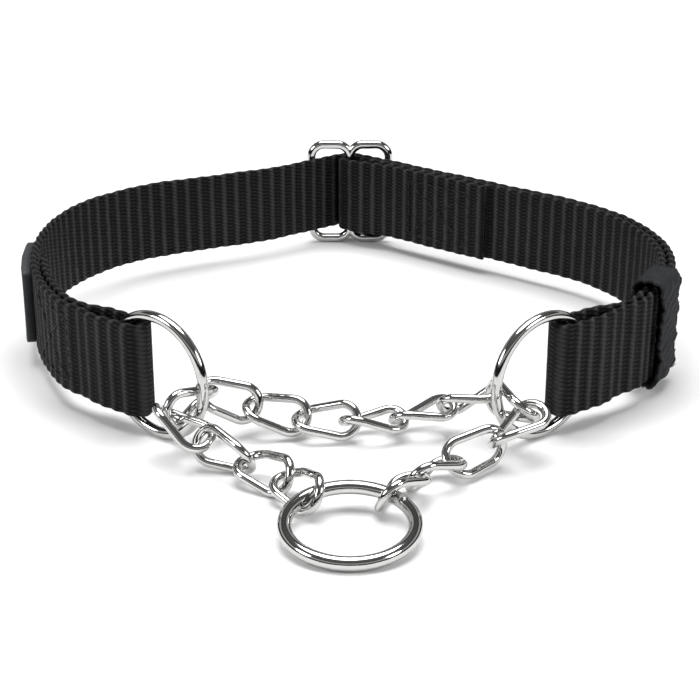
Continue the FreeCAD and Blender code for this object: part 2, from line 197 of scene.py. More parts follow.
def grid(points, coords=None, around=False, along=False):
    """A surface on a grid of points, rows along and columns around, with its faces
    turned outwards. A section that closes around but not along gets two end caps.
    Returns its points, faces and one UV pair per face corner."""
    rows, cols = points.shape[:2]
    index = np.arange(rows * cols).reshape(rows, cols)
    if along:
        index = np.vstack((index, index[:1]))
    if around:
        index = np.hstack((index, index[:, :1]))
    if coords is None:
        a, b = np.meshgrid(np.arange(index.shape[0]), np.arange(index.shape[1]), indexing="ij")
        coords = np.stack((a / (index.shape[0] - 1), b / (index.shape[1] - 1)), -1)

    def corners(table):
        quads = (table[:-1, :-1], table[1:, :-1], table[1:, 1:], table[:-1, 1:])
        return np.stack(quads, 2).reshape((-1, 4) + table.shape[2:])

    quads = corners(index)
    uvs = corners(coords)
    flat = points.reshape(-1, 3)
    edges = flat[quads]
    middle = flat.mean(0)
    normal = np.cross(edges[:, 2] - edges[:, 0], edges[:, 3] - edges[:, 1])
    flipped = np.sum(normal * (edges.mean(1) - middle)) < 0
    if flipped:
        quads = quads[:, ::-1]
        uvs = uvs[:, ::-1]
    faces = [tuple(face) for face in quads.tolist()]
    uvs = [tuple(uv) for uv in uvs.reshape(-1, 2).tolist()]
    if around and not along:
        for row, reverse in ((0, flipped), (-1, not flipped)):
            ends = index[row, :-1].tolist()
            spots = coords[row, :-1].tolist()
            faces.append(tuple(ends[::-1] if reverse else ends))
            uvs += [tuple(uv) for uv in (spots[::-1] if reverse else spots)]
    return flat, faces, uvs


def make_piece(name, surfaces, material, body, replaced=()):
    """One mesh object of several surfaces, which rides on a body of the frame."""
    points, faces, uvs, base = [], [], [], 0
    for flat, some_faces, some_uvs in surfaces:
        points.append(flat)
        faces += [tuple(corner + base for corner in face) for face in some_faces]
        uvs += some_uvs
        base += len(flat)
    mesh = bpy.data.meshes.new(name)
    mesh.from_pydata(np.concatenate(points), [], faces)
    layer = mesh.uv_layers.new(name="Weave")
    layer.uv.foreach_set("vector", np.array(uvs, np.float32).ravel())
    mesh.polygons.foreach_set("use_smooth", np.ones(len(faces), bool))
    mesh.materials.append(material)
    mesh.update()
    item = bpy.data.objects.new(name, mesh)
    bpy.context.scene.collection.objects.link(item)
    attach(item, body)
    if replaced:
        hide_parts(*replaced)
    return item


class Nodes:
    """A material's node tree, with short calls for the nodes used here."""

    def __init__(self, name):
        self.material = bpy.data.materials.new(name)
        self.material.use_nodes = True
        self.tree = self.material.node_tree
        self.shader = next(n for n in self.tree.nodes if n.type == "BSDF_PRINCIPLED")

    def add(self, kind, inputs=(), **settings):
        node = self.tree.nodes.new("ShaderNode" + kind)
        for key, value in settings.items():
            setattr(node, key, value)
        for socket, value in dict(inputs).items():
            if isinstance(value, bpy.types.NodeSocket):
                self.tree.links.new(value, node.inputs[socket])
            else:
                node.inputs[socket].default_value = value
        return node.outputs[0]

    def math(self, operation, *values):
        return self.add("Math", dict(enumerate(values)), operation=operation)

    def mix(self, share, first, second):
        """A colour between two, by a share."""
        return self.add(
            "Mix", {0: share, 6: first, 7: second}, data_type="RGBA").node.outputs[2]

    def noise(self, place, scale, detail=3.0):
        return self.add("TexNoise", {"Vector": place, "Scale": scale, "Detail": detail})

    def spread(self, value, low, high):
        """A value from 0 to 1 carried to the range from low to high."""
        return self.add("MapRange", {0: value, 3: low, 4: high})

    def place(self):
        """Object coordinates."""
        return self.add("TexCoord").node.outputs["Object"]

    def weave(self):
        """The two weave coordinates, in ribs along and in yarns across."""
        found = self.add("UVMap", uv_map="Weave")
        split = self.add("SeparateXYZ", {0: found})
        return split, split.node.outputs[1]

    def wave(self, turns, phase=0.0):
        """A sine from 0 to 1, one period for each whole turn."""
        angle = self.math("MULTIPLY_ADD", turns, math.tau, phase)
        return self.math("MULTIPLY_ADD", self.math("SINE", angle), 0.5, 0.5)

    def bump(self, height, distance, strength=1.0):
        normal = self.add(
            "Bump", {"Height": height, "Distance": distance, "Strength": strength})
        self.tree.links.new(normal, self.shader.inputs["Normal"])

    def set(self, **inputs):
        for key, value in inputs.items():
            socket = self.shader.inputs[key.replace("_", " ")]
            if isinstance(value, bpy.types.NodeSocket):
                self.tree.links.new(value, socket)
            else:
                socket.default_value = value


def shade(rgb, factor=1.0):
    """A colour as a four-number tuple, brightened by a factor."""
    return tuple(min(1.0, part * factor) for part in rgb) + (1.0,)


def webbing_material():
    """Ribbed weave: a narrow rib of short yarn floats, whose line zigzags from yarn to yarn, then
    a row of small loops in the groove between two ribs. The groove's near-black colour is painted
    shade, darkest where the weave lies lowest."""
    paint = bpy.context.scene.collar_colours
    n = Nodes("black_webbing")
    along, across = n.weave()
    spot = n.place()
    yarns = n.wave(across)
    uneven = n.noise(spot, 420.0, 3.0)
    zigzag = n.math("MULTIPLY_ADD", n.wave(across, 1.2), 0.09, along)
    line = n.math("MULTIPLY_ADD", uneven, 0.16, zigzag)
    crown = n.math("POWER", n.wave(line, math.pi / 2 - 0.8), 2.6)
    groove = n.math("POWER", n.wave(line, -math.pi / 2 - 0.8), 3.0)
    loops = n.math("MULTIPLY", groove, n.math("POWER", n.wave(across, math.pi), 2.0))
    floats = n.math("MULTIPLY", crown, n.math("MULTIPLY_ADD", yarns, 0.32, 0.68))
    fuzz = n.noise(spot, 5200.0, 4.0)
    height = n.math("MULTIPLY_ADD", loops, 0.40, floats)
    height = n.math("MULTIPLY_ADD", fuzz, 0.12, height)
    patch = n.noise(spot, 60.0, 2.0)
    top = n.mix(patch, shade(paint.rib, 0.7), shade(paint.rib, 1.3))
    # Painted shade: the colour runs from the groove colour, where the weave lies low, to the rib
    # colour on the floats, with the loops about halfway, so the grooves are darkened like shade.
    share = n.math("MULTIPLY_ADD", loops, 0.45, n.math("MULTIPLY", floats, 0.95))
    n.set(
        Base_Color=n.mix(share, shade(paint.groove), top),
        Roughness=n.spread(fuzz, 0.45, 0.75),
        Specular_IOR_Level=0.08,
    )
    n.bump(height, 0.00035)
    return n.material


def tape_material():
    """Thin tape: close lengthwise yarns, crossed by fine weft."""
    paint = bpy.context.scene.collar_colours
    n = Nodes("keeper_tape")
    along, across = n.weave()
    yarns = n.wave(across)
    weft = n.wave(along)
    fuzz = n.noise(n.place(), 2600.0, 4.0)
    height = n.math("MULTIPLY_ADD", weft, 0.35, n.math("MULTIPLY", yarns, 0.5))
    height = n.math("MULTIPLY_ADD", fuzz, 0.5, height)
    patch = n.noise(n.place(), 240.0, 3.0)
    n.set(
        Base_Color=n.mix(patch, shade(paint.tape, 0.35), shade(paint.tape, 1.3)),
        Roughness=n.spread(fuzz, 0.6, 0.85),
        Specular_IOR_Level=0.10,
    )
    n.bump(height, 0.00012)
    return n.material


def thread_material():
    """Twisted sewing thread, with its strands as slanting stripes: their darker parts, low in the
    twist, are painted shade, and their lighter parts, on its crowns, painted highlight.
    """
    paint = bpy.context.scene.collar_colours
    n = Nodes("sewing_thread")
    along, across = n.weave()
    twist_relief_and_shade = n.wave(n.math("MULTIPLY_ADD", along, 5.0, n.math("MULTIPLY", across, 2.0)))
    # Painted shade and highlight: the same stripes that make the bump colour the thread darker low
    # in the twist and lighter on its crowns.
    n.set(
        Base_Color=n.mix(twist_relief_and_shade, shade(paint.sewing, 0.4), shade(paint.sewing, 1.4)),
        Roughness=0.5,
        Specular_IOR_Level=0.2,
    )
    n.bump(twist_relief_and_shade, 0.00005)
    return n.material


def rubber_material(name, rgb):
    """Moulded rubber: fine grain, with random patches a little darker and lighter."""
    n = Nodes(name)
    grain = n.noise(n.place(), 3800.0, 3.0)
    patch = n.noise(n.place(), 320.0, 3.0)
    n.set(
        Base_Color=n.mix(patch, shade(rgb, 0.8), shade(rgb, 1.25)),
        Roughness=n.spread(grain, 0.42, 0.62),
        Specular_IOR_Level=0.2,
    )
    n.bump(grain, 0.00003)
    return n.material


def plating_material():
    """Bright nickel plating over drawn wire: faint waviness and rubbed patches."""
    paint = bpy.context.scene.collar_colours
    n = Nodes("plated_steel")
    spot = n.place()
    rubbed = n.noise(spot, 700.0, 5.0)
    waves = n.noise(spot, 260.0, 2.0)
    dull = n.math("POWER", rubbed, 3.0)
    n.set(
        Base_Color=n.mix(dull, shade(paint.plate), shade(paint.plate, 0.72)),
        Metallic=1.0,
        Roughness=n.spread(dull, 0.05, 0.30),
    )
    n.bump(waves, 0.00006, 0.6)
    return n.material


# ------------------------------------------------------------------- strap's route


def polar(centre, radius, angle):
    """A plan point, as a complex number, at a radius and an angle from a centre."""
    return centre + cmath.rect(radius, angle)


def tangent_corner(centre, radius, first, last):
    """Where the tangents at two polar angles of a circle meet."""
    return polar(centre, radius / math.cos((last - first) / 2), (first + last) / 2)


def meet(point, way, other, other_way):
    """Where two lines in plan cross."""
    gap = other - point
    scale = (gap.conjugate() * other_way).imag / (way.conjugate() * other_way).imag
    return point + way * scale


def ring_point(side, along, across):
    """A plan point by its distance out along a collar ring's plane and across it."""
    size = bpy.context.scene.collar_sizes
    outward = complex(side * math.cos(size.ring_yaw), math.sin(size.ring_yaw))
    forward = complex(side * math.sin(size.ring_yaw), -math.cos(size.ring_yaw))
    centre = complex(size.mid_x + side * size.ring_x, size.ring_y)
    return centre + outward * along + forward * across


def strap_corners():
    """The strap's middle line as (corner, bend radius), from the left hem to the tail."""
    size = bpy.context.scene.collar_sizes
    layer, fold = size.layer_pitch, size.fold_radius
    bar = complex(size.mid_x, size.bar_y)
    left_side, right_side = complex(*size.left_side), complex(*size.right_side)
    left_corner = complex(*size.left_corner)
    left_rad, right_rad = size.left_side_rad, size.right_side_rad
    left_turns = [math.radians(angle) for angle in LEFT_TURNS]
    right_turns = [math.radians(angle) for angle in RIGHT_TURNS]
    left_slope = math.radians(LEFT_SLOPE)
    right_slope = right_turns[0] - math.pi / 2
    quarter = math.pi / 2
    wrap = size.slider_wire / 2 + size.slider_play + size.webbing_thick / 2
    over = wrap + layer

    def fold_corners(side):
        tip = size.fold_reach - fold
        spots = ((0.020, layer / 2, 0.006), (0.015, fold, 0.006), (tip, fold, fold))
        there = [(ring_point(side, along, across), bend) for along, across, bend in spots]
        back = [(ring_point(side, along, -across), bend) for along, across, bend in spots]
        return there + back[::-1]

    def bend_to_ring(side, centre, radius, angle, across):
        start = ring_point(side, 0, across)
        way = ring_point(side, 1, across) - start
        return meet(polar(centre, radius, angle), cmath.rect(1, angle + quarter), start, way)

    def bar_point(along, across):
        return bar + cmath.rect(along, right_slope) + cmath.rect(across, right_slope + quarter)

    shoulder = meet(
        polar(bar, over, quarter + left_slope), cmath.rect(1, left_slope),
        polar(left_corner, size.left_corner_rad, left_turns[0]),
        cmath.rect(1, left_turns[0] - quarter))
    inner = left_rad - layer
    corners = [
        (polar(left_side, inner, size.hem_angle), 0),
        (tangent_corner(left_side, inner, size.hem_angle, left_turns[2]), inner),
        (bend_to_ring(-1, left_side, inner, left_turns[2], -layer / 2), 0.016),
    ]
    corners += fold_corners(-1)[::-1]
    corners += [
        (bend_to_ring(-1, left_side, left_rad, left_turns[2], layer / 2), 0.018),
        (tangent_corner(left_side, left_rad, *left_turns[1:]), left_rad - 0.001),
        (tangent_corner(left_corner, size.left_corner_rad, *left_turns[:2]),
         size.left_corner_rad - 0.001),
        (shoulder, 0.030),
        (tangent_corner(bar, over, quarter + left_slope, quarter + right_slope), over),
        (tangent_corner(right_side, right_rad, *right_turns), right_rad),
        (bend_to_ring(1, right_side, right_rad, right_turns[1], layer / 2), 0.008),
    ]
    corners += fold_corners(1)
    corners += [
        (bend_to_ring(1, right_side, right_rad - layer, right_turns[1], -layer / 2), 0.008),
        (tangent_corner(right_side, right_rad - layer, *right_turns), right_rad - layer),
        (bar_point(-wrap, wrap), wrap - 0.00005),
        (bar_point(-wrap, -wrap), wrap - 0.00005),
        (bar_point(0.004, -wrap), 0.008),
        (bar_point(0.013, wrap - layer), 0.008),
        (bar_point(size.tail_long, wrap - layer), 0),
    ]
    return corners


class Route:
    """A line of straights and tangent arcs, read by the distance along it."""

    def __init__(self, corners):
        points = [point for point, bend in corners]
        self.spans, self.starts = [], [0.0]
        start = points[0]
        for before, (corner, radius), after in zip(points, corners[1:-1], points[2:]):
            come = (corner - before) / abs(corner - before)
            leave = (after - corner) / abs(after - corner)
            bend = cmath.phase(leave / come)
            reach = radius * math.tan(abs(bend) / 2)
            self.span(start, come, abs(corner - come * reach - start), 0)
            self.span(corner - come * reach, come, radius * abs(bend),
                      math.copysign(1 / radius, bend))
            start = corner + leave * reach
        way = (points[-1] - start) / abs(points[-1] - start)
        self.span(start, way, abs(points[-1] - start), 0)
        self.total = self.starts[-1]

    def span(self, start, way, run, curve):
        self.spans.append((start, way, curve))
        self.starts.append(self.starts[-1] + run)

    def at(self, distance):
        """Plan points and unit headings at an array of distances."""
        distance = np.asarray(distance, float)
        which = np.clip(
            np.searchsorted(self.starts, distance, "right") - 1, 0, len(self.spans) - 1)
        start, way, curve = (np.array(part)[which] for part in zip(*self.spans))
        run = distance - np.array(self.starts)[which]
        curve = curve.real
        swing = curve * run
        safe = np.where(curve == 0, 1.0, curve)
        bent = (np.exp(1j * swing) - 1) / (1j * safe)
        return start + way * np.where(curve == 0, run, bent), way * np.exp(1j * swing)

    def nearest(self, point):
        """The distance along the line that comes closest to a plan point."""
        steps = np.linspace(0, self.total, 4000)
        return steps[np.argmin(abs(self.at(steps)[0] - point))]

    def lift(self, distance, sideways, height):
        """Points in space by distance along, distance to the left and height."""
        place, way = self.at(distance)
        plan = place + 1j * way * sideways
        return np.stack(np.broadcast_arrays(plan.real, plan.imag, height), -1)


def strap_route():
    return Route(strap_corners())


# ----------------------------------------------------------------------- operators


class COLLAR_OT_webbing(bpy.types.Operator):
    """Build the ribbed webbing strap"""

    bl_idname = "collar.webbing"
    bl_label = "Webbing strap"

    def execute(self, context):
        """The strap's section, a slab with round edges, is carried along its route. Its
        half thickness and half width fall between ribs by a cosine of the distance
        along, and the two faces' ribs are half a pitch apart."""
        size = context.scene.collar_sizes
        route = strap_route()
        rows = int(route.total / size.rib_pitch * ROWS_PER_RIB)
        along = np.linspace(0, route.total, rows)
        half_thick, half_wide = size.webbing_thick / 2, size.webbing_width / 2
        edge = half_thick * 0.8
        face = np.linspace(-1, 1, FACE_POINTS)
        arc = np.linspace(-math.pi / 2, math.pi / 2, 8)[1:-1]
        level = np.concatenate((face * (half_wide - edge), half_wide - edge + edge * np.cos(arc),
                                -face * (half_wide - edge), edge - half_wide - edge * np.cos(arc)))
        flat = np.ones(FACE_POINTS)
        depth = np.concatenate((flat, -np.sin(arc), -flat, np.sin(arc)))
        ribs = along[:, None] / size.rib_pitch + 0.25 * (1 - depth[None, :])
        crown = 0.5 + 0.5 * np.cos(math.tau * ribs)
        thick = half_thick - size.rib_deep * (1 - crown)
        middle = size.webbing_foot + half_wide
        sway = 0.00010 * np.sin(along * 260) + 0.00006 * np.sin(along * 611 + 1)
        scallop = 1 - 0.018 * (1 - crown)
        points = route.lift(
            along[:, None], depth[None, :] * thick, middle + level[None, :] * scallop
            + sway[:, None] * np.sign(level)[None, :] * 0.5)
        edges = np.concatenate((level, level[:1]))
        step = np.hypot(np.diff(edges), np.diff(np.concatenate((depth, depth[:1]))) * half_thick)
        yarns = np.concatenate(([0], np.cumsum(step))) / size.yarn_pitch
        rib_place = np.concatenate((ribs, ribs[:, :1]), 1)
        coords = np.stack(np.broadcast_arrays(rib_place, yarns[None, :]), -1)
        make_piece("webbing", [grid(points, coords, around=True)], webbing_material(),
                   "collar", ["webbing_strap"])
        return {"FINISHED"}


def stitch(route, start, finish, depth, thread):
    """One stitch as a tube from one (distance, height) to another on the strap's face.
    It rises by the sine of its length and narrows by the sine's root at both ends."""
    run = np.linspace(0, 1, 7)
    sine = np.sin(run * math.pi)
    spot = np.outer(1 - run, start) + np.outer(run, finish)
    rise = np.sign(depth) * (abs(depth) - 0.55 * thread + 0.55 * thread * np.sqrt(sine))
    line = route.lift(spot[:, 0], rise, spot[:, 1])
    return tube(line, thread / 2 * (0.15 + 0.85 * np.sqrt(sine)), 6)


def tube(line, radius, sides, closed=False):
    """A round tube about a line in space. Its section is turned by the smallest turn
    from point to point, and a closed line shares the leftover turn out evenly."""
    line = np.asarray(line, float)
    ahead = np.roll(line, -1, 0)
    behind = np.roll(line, 1, 0)
    if not closed:
        ahead[-1], behind[0] = line[-1], line[0]
    way = ahead - behind
    way /= np.linalg.norm(way, axis=1)[:, None]
    start = np.cross(way[0], UP if abs(way[0][2]) < 0.9 else np.array((1.0, 0, 0)))
    normals = [start / np.linalg.norm(start)]
    for now in way[1:]:
        flat = normals[-1] - now * (normals[-1] @ now)
        normals.append(flat / np.linalg.norm(flat))
    normals = np.array(normals)
    if closed:
        home = normals[-1] - way[0] * (normals[-1] @ way[0])
        slip = math.atan2(np.cross(home, normals[0]) @ way[0], home @ normals[0])
        angle = (np.arange(len(line)) / len(line) * slip)[:, None]
        normals = normals * np.cos(angle) + np.cross(way, normals) * np.sin(angle)
    across = np.cross(way, normals)
    angle = np.linspace(0, math.tau, sides, endpoint=False)[None, :, None]
    ring = np.cos(angle) * normals[:, None] + np.sin(angle) * across[:, None]
    points = line[:, None] + ring * np.broadcast_to(radius, len(line))[:, None, None]
    return grid(points, around=True, along=closed)


class COLLAR_OT_stitching(bpy.types.Operator):
    """Sew the two box seams that hold the strap's ends"""

    bl_idname = "collar.stitching"
    bl_label = "Seams"

    def execute(self, context):
        """Each seam is a box with a cross in it, as runs of stitches between corners
        given by distance along the strap and by height."""
        size = context.scene.collar_sizes
        route = strap_route()
        low = size.webbing_foot + SEAM_INSET
        high = size.webbing_foot + size.webbing_width - SEAM_INSET
        depth = size.webbing_thick / 2
        left = route.nearest(ring_point(-1, HEM_SEAM_START, size.layer_pitch / 2))
        right_end = route.total - TAIL_SEAM_END
        zones = (
            (left, left + HEM_SEAM_LONG, depth),
            (right_end - TAIL_SEAM_LONG, right_end, depth),
            (right_end - TAIL_SEAM_LONG, right_end, -depth),
        )
        pieces = []
        draw = np.random.default_rng(7)
        for first, last, face in zones:
            box = [(first, low), (last, low), (last, high), (first, high)]
            runs = list(zip(box, box[1:] + box[:1])) + [(box[0], box[2]), (box[1], box[3])]
            for start, finish in runs:
                start, finish = np.array(start), np.array(finish)
                count = max(2, round(float(np.linalg.norm(finish - start)) / STITCH_PITCH))
                for number in range(count):
                    head = start + (finish - start) * (number + 0.08) / count
                    tail = start + (finish - start) * (number + 0.92) / count
                    jitter = draw.normal(0, STITCH_WANDER, (2, 2))
                    pieces.append(
                        stitch(route, head + jitter[0], tail + jitter[1], face, size.thread))
        make_piece("stitching", pieces, thread_material(), "collar")
        return {"FINISHED"}


class COLLAR_OT_keeper(bpy.types.Operator):
    """Build the sewn tape keeper"""

    bl_idname = "collar.keeper"
    bl_label = "Keeper"

    def execute(self, context):
        """The tape's middle line is a rounded box round the two layers. The tape's width
        is a row of points along the strap, and its edges wander by a sum of sines."""
        size = context.scene.collar_sizes
        inner = size.right_side_rad - size.layer_pitch - size.webbing_thick / 2 - size.keeper_gap
        outer = size.right_side_rad + size.webbing_thick / 2 + size.keeper_gap
        half_thick = size.keeper_thick / 2
        middle_rad = (inner + outer) / 2
        half_deep = (outer - inner) / 2 + half_thick
        half_tall = size.webbing_width / 2 + size.keeper_gap + half_thick
        bend = 0.0012
        count = 160
        box = [(half_deep - bend, -half_tall + bend), (half_deep - bend, half_tall - bend),
               (bend - half_deep, half_tall - bend), (bend - half_deep, bend - half_tall)]
        line, out = [], []
        for (deep, tall), quarter in zip(box, (-1, 0, 1, 2)):
            for part in np.linspace(0, 1, 9):
                angle = math.radians(90 * (quarter + part))
                line.append((deep + bend * math.cos(angle), tall + bend * math.sin(angle)))
                out.append((math.cos(angle), math.sin(angle)))
        line, out = np.array(line + line[:1]), np.array(out + out[:1])
        walked = np.concatenate(([0], np.cumsum(np.linalg.norm(np.diff(line, axis=0), axis=1))))
        steps = np.linspace(0, walked[-1], count, endpoint=False)
        line = np.stack([np.interp(steps, walked, line[:, axis]) for axis in (0, 1)], 1)
        out = np.stack([np.interp(steps, walked, out[:, axis]) for axis in (0, 1)], 1)
        turns = steps / walked[-1] * math.tau
        ragged = np.stack([
            0.00030 * np.sin(turns * 23 + phase) + 0.00024 * np.sin(turns * 41 + 2 * phase)
            + 0.00050 * np.sin(turns * 5 + 3 * phase) for phase in (0.4, 2.1)])
        share = np.linspace(-1, 1, 25)
        curl = 0.00045 * np.abs(share) ** 6
        crease = 0.00016 * (1 + np.sin(turns[:, None] * 9 + 5 * share[None, :]))
        crease = crease + 0.00010 * (1 + np.sin(turns[:, None] * 17 - 9 * share[None, :]))
        crown = 0.00025 * (1 - share ** 2)
        half_wide = size.keeper_wide / 2 - RAGGED_ALLOWANCE
        place = np.where(share[None, :] < 0, share * (half_wide + ragged[0][:, None]),
                         share * (half_wide + ragged[1][:, None]))
        rise = (crease + crown + curl)[..., None]
        shells = []
        for shift in (half_thick, -half_thick * 0.9):
            thin = shift * (1 - 0.5 * np.abs(share) ** 8)[None, :, None]
            shells.append(line[:, None] + out[:, None] * (thin + rise))
        section = np.concatenate((shells[0], shells[1][:, ::-1]), 1)
        place = np.concatenate((place, place[:, ::-1]), 1)
        radius = middle_rad + section[..., 0]
        angle = size.keeper_angle + place / size.right_side_rad
        middle = size.webbing_foot + size.webbing_width / 2
        points = np.stack((
            size.right_side[0] + radius * np.cos(angle),
            size.right_side[1] + radius * np.sin(angle),
            middle + section[..., 1]), -1)
        ways = np.concatenate((share, share[::-1], share[:1])) * half_wide / TAPE_YARN
        coords = np.stack(np.broadcast_arrays(
            np.linspace(0, walked[-1] / TAPE_WEFT, count + 1)[:, None], ways[None, :]), -1)
        tape = make_piece(
            "keeper", [grid(points, coords, around=True, along=True)], tape_material(),
            "keeper", ["keeper_loop"])
        self.fray(points, tape.data.materials[0])
        return {"FINISHED"}

    def fray(self, points, material):
        """Short loose yarns along both cut edges: each starts at the edge, follows it
        for a little way and lifts off, by amounts drawn from a seeded generator."""
        draw = np.random.default_rng(11)
        count = len(points)
        half = points.shape[1] // 2
        yarns = []
        for edge, inside in ((0, 3), (half - 1, half - 4)):
            for number in range(0, count, 2):
                reach = int(draw.integers(2, 6))
                spots = (number + np.arange(reach + 1)) % count
                rim = points[spots, edge] * 0.9 + points[spots, inside] * 0.1
                away = points[spots, edge] - points[spots, inside]
                away /= np.linalg.norm(away, axis=1)[:, None]
                lift = np.linspace(0, 1, reach + 1)[:, None] ** 2
                line = rim + away * lift * draw.uniform(-0.0001, 0.00035)
                line += lift * draw.normal(0, 0.00010, 3)
                yarns.append(tube(line, FRAY_RADIUS, 5))
        make_piece("keeper_fray", yarns, material, "keeper")


def moulded(half_long, half_tall, low, high, corner, centre_z, window=None):
    """A curved moulding on the left side: a rounded rectangle of half sizes, whose top
    rounds over into its sides. With a window it is a frame, else a crowned pad."""
    size = bpy.context.scene.collar_sizes
    around = np.linspace(0, math.tau, 96, endpoint=False)

    def outline(wide, tall):
        """A superellipse, which stands in for a rectangle with round corners."""
        power = 2 / corner
        cos, sin = np.cos(around), np.sin(around)
        return np.stack((wide * np.sign(cos) * np.abs(cos) ** power,
                         tall * np.sign(sin) * np.abs(sin) ** power), -1)

    edge = min(0.00035, (high - low) * 0.45)
    rolls = np.linspace(0, math.pi / 2, 6)
    rings = [(0, low)] + [(edge * (1 - math.cos(roll)), high - edge + edge * math.sin(roll))
                          for roll in rolls]
    if window:
        span = window - edge * 2
        rings += [(edge + span * part, high) for part in (0.5, 1.0)]
        rings += [(window - edge * (1 - math.sin(roll)), high - edge + edge * math.cos(roll))
                  for roll in rolls[1:]]
        rings += [(window, low)]
    else:
        full = min(half_long, half_tall)
        rings += [(edge + (full - edge) * part, high + 0.0001 * part) for part in (0.3, 0.6, 0.9)]
    layers = []
    for inset, rise in rings:
        flat = outline(half_long - inset, half_tall - inset)
        angle = size.label_angle + flat[:, 0] / size.left_side_rad
        radius = size.left_side_rad + size.webbing_thick / 2 + rise
        layers.append(np.stack((
            size.left_side[0] + radius * np.cos(angle),
            size.left_side[1] + radius * np.sin(angle),
            centre_z + flat[:, 1]), -1))
    return grid(np.array(layers), around=True, along=bool(window))


class COLLAR_OT_label(bpy.types.Operator):
    """Build the moulded rubber label: rim, face and a plain bar"""

    bl_idname = "collar.label"
    bl_label = "Label"

    def execute(self, context):
        """The rim is a window frame and the face a pad that fills it, both bent round the
        strap's left curve. The mark is a smaller pad on the face."""
        size = context.scene.collar_sizes
        paint = context.scene.collar_colours
        middle = size.webbing_foot + size.webbing_width / 2
        half_long, half_tall = size.label_long / 2, size.label_tall / 2
        back = 0.0001
        rim = moulded(half_long, half_tall, back, back + size.label_thick, 14, middle,
                      size.label_rim)
        face = moulded(half_long - size.label_rim, half_tall - size.label_rim, back,
                       back + size.label_thick * 0.6, 14, middle)
        bar_low = back + size.label_thick * 0.65
        mark = moulded(0.0042, 0.0011, bar_low, back + size.label_thick * 0.85 - 0.0001, 6,
                       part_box("label_mark")[0].z + 0.0012)
        for name, surface, rgb, slot in (
                ("label_rim", rim, paint.rubber_grey, "label_grey"),
                ("label_plate", face, paint.rubber_black, "label_black"),
                ("label_mark", mark, paint.rubber_red, "label_red")):
            make_piece(name + "_moulding", [surface], rubber_material(slot, rgb), "collar",
                       [name])
        return {"FINISHED"}


def body_axes(node):
    """A CAD node's middle and its own axes, longest first, from the second moments of
    its surface: the sum over its triangles of area times offset times offset."""
    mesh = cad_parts[node].data
    mesh.calc_loop_triangles()
    points = np.zeros(len(mesh.vertices) * 3)
    mesh.vertices.foreach_get("co", points)
    corners = np.zeros(len(mesh.loop_triangles) * 3, int)
    mesh.loop_triangles.foreach_get("vertices", corners)
    triangles = points.reshape(-1, 3)[corners.reshape(-1, 3)]
    area = np.linalg.norm(
        np.cross(triangles[:, 1] - triangles[:, 0], triangles[:, 2] - triangles[:, 0]), axis=1)
    spots = triangles.mean(1)
    middle = (spots * area[:, None]).sum(0) / area.sum()
    offset = spots - middle
    axes = np.linalg.eigh((offset * area[:, None]).T @ offset)[1][:, ::-1].T
    axes[2] = np.cross(axes[0], axes[1])
    return middle, axes


def place_line(line, node):
    """A line in a CAD node's own axes, carried to where the node is."""
    middle, axes = body_axes(node)
    return middle + line @ axes


class COLLAR_OT_rings(bpy.types.Operator):
    """Build the two collar rings and the leash ring"""

    bl_idname = "collar.rings"
    bl_label = "Rings"

    def execute(self, context):
        """Each ring is a circle in the plane of its CAD node's two longer axes."""
        size = context.scene.collar_sizes
        material = plating_material()
        angle = np.linspace(0, math.tau, 160, endpoint=False)
        circle = np.stack((np.cos(angle), np.sin(angle), 0 * angle), -1)
        for node, radius, wire in (
                ("ring_left", size.ring_rad, size.ring_wire),
                ("ring_right", size.ring_rad, size.ring_wire),
                ("leash_ring", size.leash_rad, size.leash_wire)):
            line = place_line(circle * radius, node)
            make_piece(node + "_plated", [tube(line, wire / 2, 32, True)], material, node,
                       [node])
        return {"FINISHED"}


def link_line(size):
    """A link's middle line: four corners, whose two end pairs are turned against each
    other, joined by straights and by arcs that touch them."""
    half_long, half_wide = size.link_long / 2, size.link_wide / 2
    lean = size.link_twist / 2
    low = np.array((half_long, -half_wide * math.cos(lean), -half_wide * math.sin(lean)))
    high = np.array((half_long, half_wide * math.cos(lean), half_wide * math.sin(lean)))
    flip = np.array((-1, -1, 1))
    corners = np.array((low, high, low * flip, high * flip))
    line = []
    for before, corner, after in zip(np.roll(corners, 1, 0), corners, np.roll(corners, -1, 0)):
        come = (corner - before) / np.linalg.norm(corner - before)
        leave = (after - corner) / np.linalg.norm(after - corner)
        bend = math.acos(come @ leave)
        radius = half_wide / math.tan(bend / 2)
        inward = (leave - come) / np.linalg.norm(leave - come)
        centre = corner + inward * radius / math.cos(bend / 2)
        side = np.cross(np.cross(come, leave), come)
        side /= np.linalg.norm(side)
        for part in np.linspace(0, 1, 15):
            swing = bend * part
            line.append(centre - side * radius * math.cos(swing) + come * radius * math.sin(swing))
        gap = after - corner
        if abs(gap @ np.array((1, 0, 0))) > half_long:
            leave_point = corner + leave * half_wide
            arrive_point = after - leave * half_wide
            line += [leave_point + (arrive_point - leave_point) * part
                     for part in np.linspace(0, 1, 8)[1:-1]]
    line = np.array(line)
    keep = np.linalg.norm(line - np.roll(line, 1, 0), axis=1) > 1e-6
    return line[keep]


class COLLAR_OT_chain(bpy.types.Operator):
    """Build the chain's sixteen twisted links"""

    bl_idname = "collar.chain"
    bl_label = "Chain"

    def execute(self, context):
        """Every link is the same middle line, carried to its CAD node and made a tube."""
        size = context.scene.collar_sizes
        material = plating_material()
        line = link_line(size)
        for node in sorted(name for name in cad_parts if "_link_" in name):
            surface = tube(place_line(line, node), size.link_wire / 2, 20, True)
            make_piece(node + "_plated", [surface], material, node, [node])
        return {"FINISHED"}


